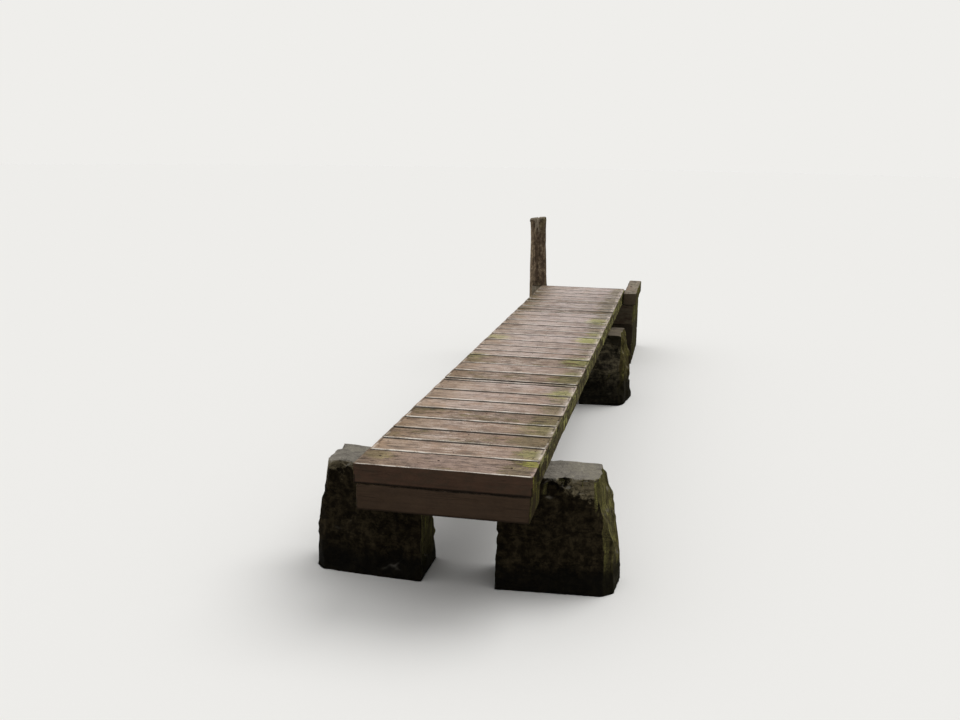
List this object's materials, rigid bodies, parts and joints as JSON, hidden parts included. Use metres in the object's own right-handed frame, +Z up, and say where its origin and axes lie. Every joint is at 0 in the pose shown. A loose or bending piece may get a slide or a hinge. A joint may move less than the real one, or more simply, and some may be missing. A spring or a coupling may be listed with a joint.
{
  "type": "wooden footbridge",
  "caption": "Plank footbridge on squared stringers, carried by rough stone blocks and piers, with a timber crib, wing wall, kerb and log post at its far end",
  "frame": {"origin": "On the floor, under the middle of the bridge's bounding box: halfway across the deck, and halfway between the deck's near edge and the far end of the wing timbers.", "axes": "X runs across the deck, positive to the right when walking on from the near end. Y runs along the bridge from the near end to the far end. Z is up."},
  "size_m": [1.724, 7.3, 1.5261],
  "materials": {
    "plank_wood": "weathered grey-brown boards with worn pale edges and algae at the right-hand ends",
    "end_beam_wood": "damp dark brown sawn timber with a worn pale top edge",
    "sill_wood": "damp dark brown timber",
    "stringer_wood": "dark olive timber with moss",
    "crib_wood": "dark weathered squared timber",
    "post_wood": "weathered log with ridged bark and some moss",
    "rough_stone": "rough grey stone, mossy on its outer side",
    "pier_stone": "dark layered stone with moss on its edges"
  },
  "bodies": {
    "root": {"near_end_beam": "end_beam_wood", "near_sill": "sill_wood", "filler_strip": "plank_wood", "plank_01": "plank_wood", "plank_02": "plank_wood", "plank_03": "plank_wood", "plank_04": "plank_wood", "plank_05": "plank_wood", "plank_06": "plank_wood", "plank_07": "plank_wood", "plank_08": "plank_wood", "plank_09": "plank_wood", "plank_10": "plank_wood", "plank_11": "plank_wood", "plank_12": "plank_wood", "plank_13": "plank_wood", "plank_14": "plank_wood", "plank_15": "plank_wood", "plank_16": "plank_wood", "plank_17": "plank_wood", "plank_18": "plank_wood", "plank_19": "plank_wood", "plank_20": "plank_wood", "plank_21": "plank_wood", "plank_22": "plank_wood", "plank_23": "plank_wood", "plank_24": "plank_wood", "plank_25": "plank_wood", "plank_26": "plank_wood", "plank_27": "plank_wood", "stringer_left": "stringer_wood", "stringer_centre": "stringer_wood", "stringer_right": "stringer_wood", "near_stone_left": "rough_stone", "near_stone_right": "rough_stone", "far_pier_left": "pier_stone", "far_pier_right": "pier_stone", "far_sill_1": "crib_wood", "far_sill_2": "crib_wood", "far_sill_3": "crib_wood", "far_wing_1": "crib_wood", "far_wing_2": "crib_wood", "far_wing_3": "crib_wood", "far_kerb": "crib_wood", "far_post": "post_wood"}
  },
  "joints": []
}
